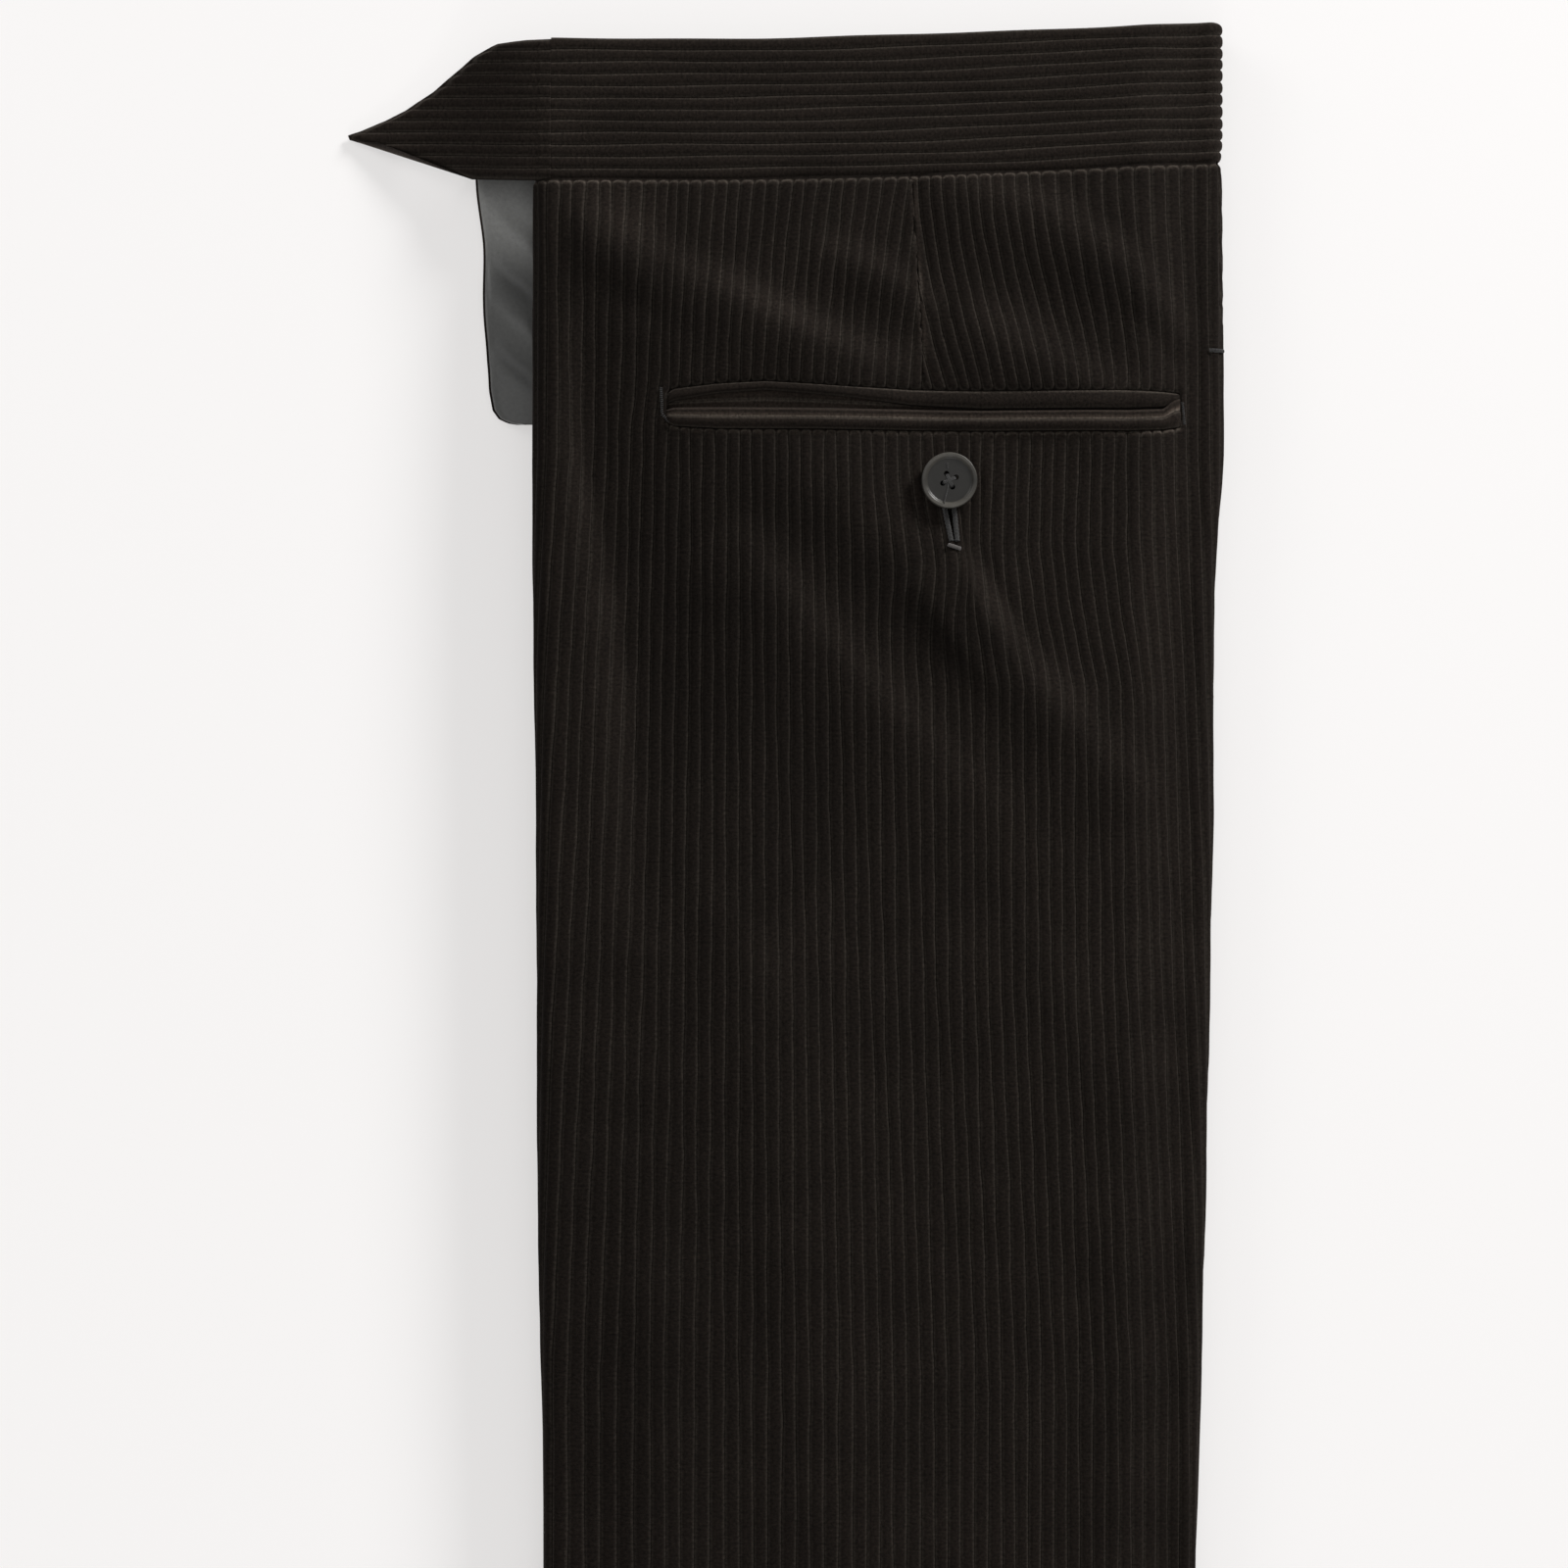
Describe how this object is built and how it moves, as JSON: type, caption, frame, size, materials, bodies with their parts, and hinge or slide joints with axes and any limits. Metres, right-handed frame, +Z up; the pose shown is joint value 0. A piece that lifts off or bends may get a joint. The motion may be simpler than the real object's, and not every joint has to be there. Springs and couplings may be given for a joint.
{
  "type": "folded corduroy trousers",
  "caption": "Wide-wale corduroy trousers folded lengthwise and laid flat, back up, with a jetted back pocket, a button and a pointed waistband end.",
  "frame": {"origin": "centre of the bounding box at the surface that the trousers lie on", "axes": "+X towards the side seam, +Y towards the waistband along the legs, +Z up, out of the back face"},
  "size_m": [0.2383, 1.06, 0.0289],
  "materials": {
    "corduroy": "dark brown wide-wale cotton corduroy",
    "lining": "grey satin lining",
    "button": "dark grey satin plastic",
    "thread": "grey-brown sewing thread"
  },
  "bodies": {
    "root": {"back_right": "corduroy", "front_right": "corduroy", "folded_layers": "corduroy", "waistband_back": "corduroy", "waistband_end": "corduroy", "waistband_folded": "corduroy", "fly_cloth": "corduroy", "fly_lining": "lining", "pocket_jet_upper": "corduroy", "pocket_jet_lower": "corduroy", "pocket_facing": "corduroy", "pocket_tack_left": "thread", "pocket_tack_right": "thread", "side_tack": "thread", "hem_right": "corduroy", "hem_left": "corduroy", "button": "button", "button_thread": "thread", "buttonhole_edge": "thread", "buttonhole_tack": "thread"}
  },
  "joints": []
}
